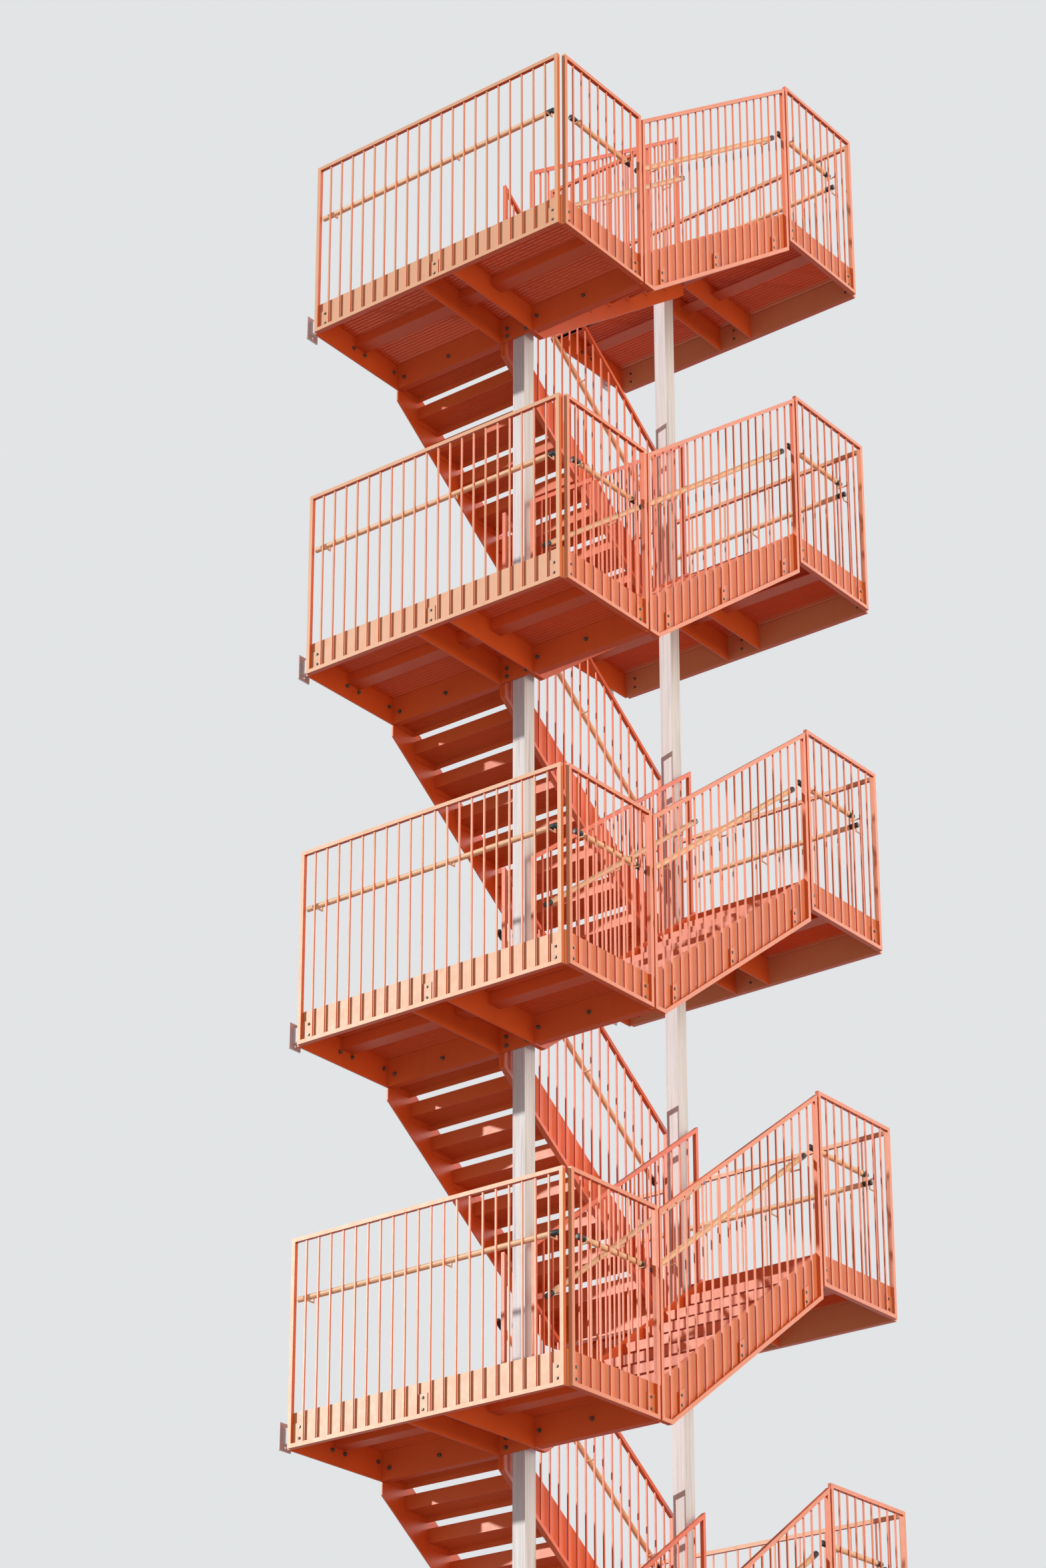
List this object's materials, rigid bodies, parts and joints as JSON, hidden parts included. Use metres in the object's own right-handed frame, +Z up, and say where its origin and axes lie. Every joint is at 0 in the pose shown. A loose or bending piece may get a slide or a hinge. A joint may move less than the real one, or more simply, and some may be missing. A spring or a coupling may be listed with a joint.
{
  "type": "fire escape stair",
  "caption": "Steel fire escape stair with paired flights round a narrow well, grated landings, tall barred guards, handrails and two box columns.",
  "frame": {"origin": "underside of the front column's base plate, under the column's middle, at ground level", "axes": "+X right along the front, +Y back towards the rear landings, +Z up"},
  "size_m": [2.557, 4.106, 20.77],
  "materials": {
    "orange_paint": "satin powder coat, salmon orange",
    "galvanised_steel": "hot dip zinc with a faint spangle",
    "handrail_paint": "matt beige coat"
  },
  "bodies": {
    "root": {"front_column": "galvanised_steel", "rear_column": "galvanised_steel", "column_bases": "galvanised_steel", "wall_brackets": "galvanised_steel", "front_landing_1": "orange_paint", "front_landing_2": "orange_paint", "front_landing_3": "orange_paint", "front_landing_4": "orange_paint", "front_landing_5": "orange_paint", "front_landing_6": "orange_paint", "rear_landing_1": "orange_paint", "rear_landing_2": "orange_paint", "rear_landing_3": "orange_paint", "rear_landing_4": "orange_paint", "rear_landing_5": "orange_paint", "rear_landing_6": "orange_paint", "rear_landing_7": "orange_paint", "front_decks": "orange_paint", "rear_decks": "orange_paint", "right_treads_1": "orange_paint", "right_treads_2": "orange_paint", "right_treads_3": "orange_paint", "right_treads_4": "orange_paint", "right_treads_5": "orange_paint", "right_treads_6": "orange_paint", "right_treads_7": "orange_paint", "left_treads_1": "orange_paint", "left_treads_2": "orange_paint", "left_treads_3": "orange_paint", "left_treads_4": "orange_paint", "left_treads_5": "orange_paint", "left_treads_6": "orange_paint", "right_stringers": "orange_paint", "left_stringers": "orange_paint", "front_guards": "orange_paint", "front_side_guards": "orange_paint", "rear_guards": "orange_paint", "rear_side_guards": "orange_paint", "right_outer_guards": "orange_paint", "right_inner_guards": "orange_paint", "left_inner_guards": "orange_paint", "front_handrails": "handrail_paint", "rear_handrails": "handrail_paint", "right_handrails": "handrail_paint", "left_handrails": "handrail_paint"}
  },
  "joints": []
}
